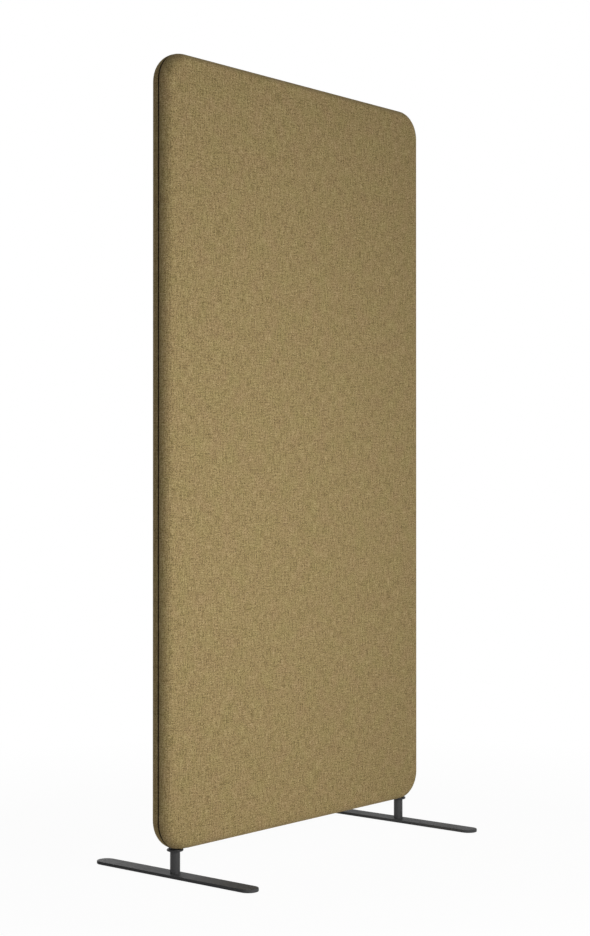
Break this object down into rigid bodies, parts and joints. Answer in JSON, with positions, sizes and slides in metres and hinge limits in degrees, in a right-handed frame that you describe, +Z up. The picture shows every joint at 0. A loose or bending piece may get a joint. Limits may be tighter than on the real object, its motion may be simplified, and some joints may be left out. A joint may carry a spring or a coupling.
{
  "type": "acoustic divider screen",
  "caption": "Free-standing padded acoustic divider screen with rounded corners and edges, woven covers closed by an edge zip, and flat steel bar feet that swivel under the panel.",
  "frame": {"origin": "on the floor, under the middle of the panel", "axes": "+Z up, X along the panel's width, the front face looks towards -Y"},
  "size_m": [0.8051, 0.404, 1.5527],
  "materials": {
    "cover_fabric": "matte",
    "zip_tape": "matte",
    "zip_teeth": "satin",
    "zip_metal": "satin",
    "timber": "matte",
    "dowel_beech": "matte",
    "plywood": "matte",
    "hardboard": "matte",
    "absorber_fibre": "matte",
    "padding_fibre": "matte",
    "zinc_steel": "satin",
    "foot_steel": "matte",
    "glide_rubber": "matte"
  },
  "bodies": {
    "panel": {"frame_stile_left": "timber", "frame_stile_right": "timber", "frame_rail_top": "timber", "frame_rail_bottom": "timber", "corner_block_top_left": "plywood", "corner_block_top_right": "plywood", "corner_block_bottom_left": "plywood", "corner_block_bottom_right": "plywood", "frame_dowels": "dowel_beech", "septum_board": "hardboard", "front_absorber": "absorber_fibre", "rear_absorber": "absorber_fibre", "threaded_insert_left": "zinc_steel", "threaded_insert_right": "zinc_steel", "front_padding": "padding_fibre", "rear_padding": "padding_fibre", "front_cover": "cover_fabric", "rear_cover": "cover_fabric", "zip_tape_front": "zip_tape", "zip_tape_rear": "zip_tape", "zip_teeth_front": "zip_teeth", "zip_teeth_rear": "zip_teeth", "zip_end_stops": "zip_metal", "bottom_closing_strip": "cover_fabric"},
    "foot_left": {"foot_bar_left": "foot_steel", "foot_post_left": "foot_steel", "foot_collar_left": "foot_steel", "foot_bush_left": "foot_steel", "foot_bolt_left": "zinc_steel", "foot_glides_left": "glide_rubber"},
    "foot_right": {"foot_bar_right": "foot_steel", "foot_post_right": "foot_steel", "foot_collar_right": "foot_steel", "foot_bush_right": "foot_steel", "foot_bolt_right": "zinc_steel", "foot_glides_right": "glide_rubber"},
    "slider": {"zip_slider": "zip_metal"},
    "pull": {"zip_pull": "zip_metal"}
  },
  "joints": [
    {"name": "foot_left_swivel", "type": "hinge", "parent": "panel", "child": "foot_left", "pos_m": [-0.354, 0, 0.0527], "axis": [0, 0, 1], "range_deg": [-90, 90]},
    {"name": "foot_right_swivel", "type": "hinge", "parent": "panel", "child": "foot_right", "pos_m": [0.354, 0, 0.0527], "axis": [0, 0, 1], "range_deg": [-90, 90]},
    {"name": "zip_slide", "type": "slide", "parent": "panel", "child": "slider", "axis": [0, 0, 1], "range_m": [0, 1.374]},
    {"name": "zip_pull_swing", "type": "hinge", "parent": "slider", "child": "pull", "pos_m": [0.4034, 0, 0.1157], "axis": [0, -1, 0], "range_deg": [0, 170]}
  ]
}
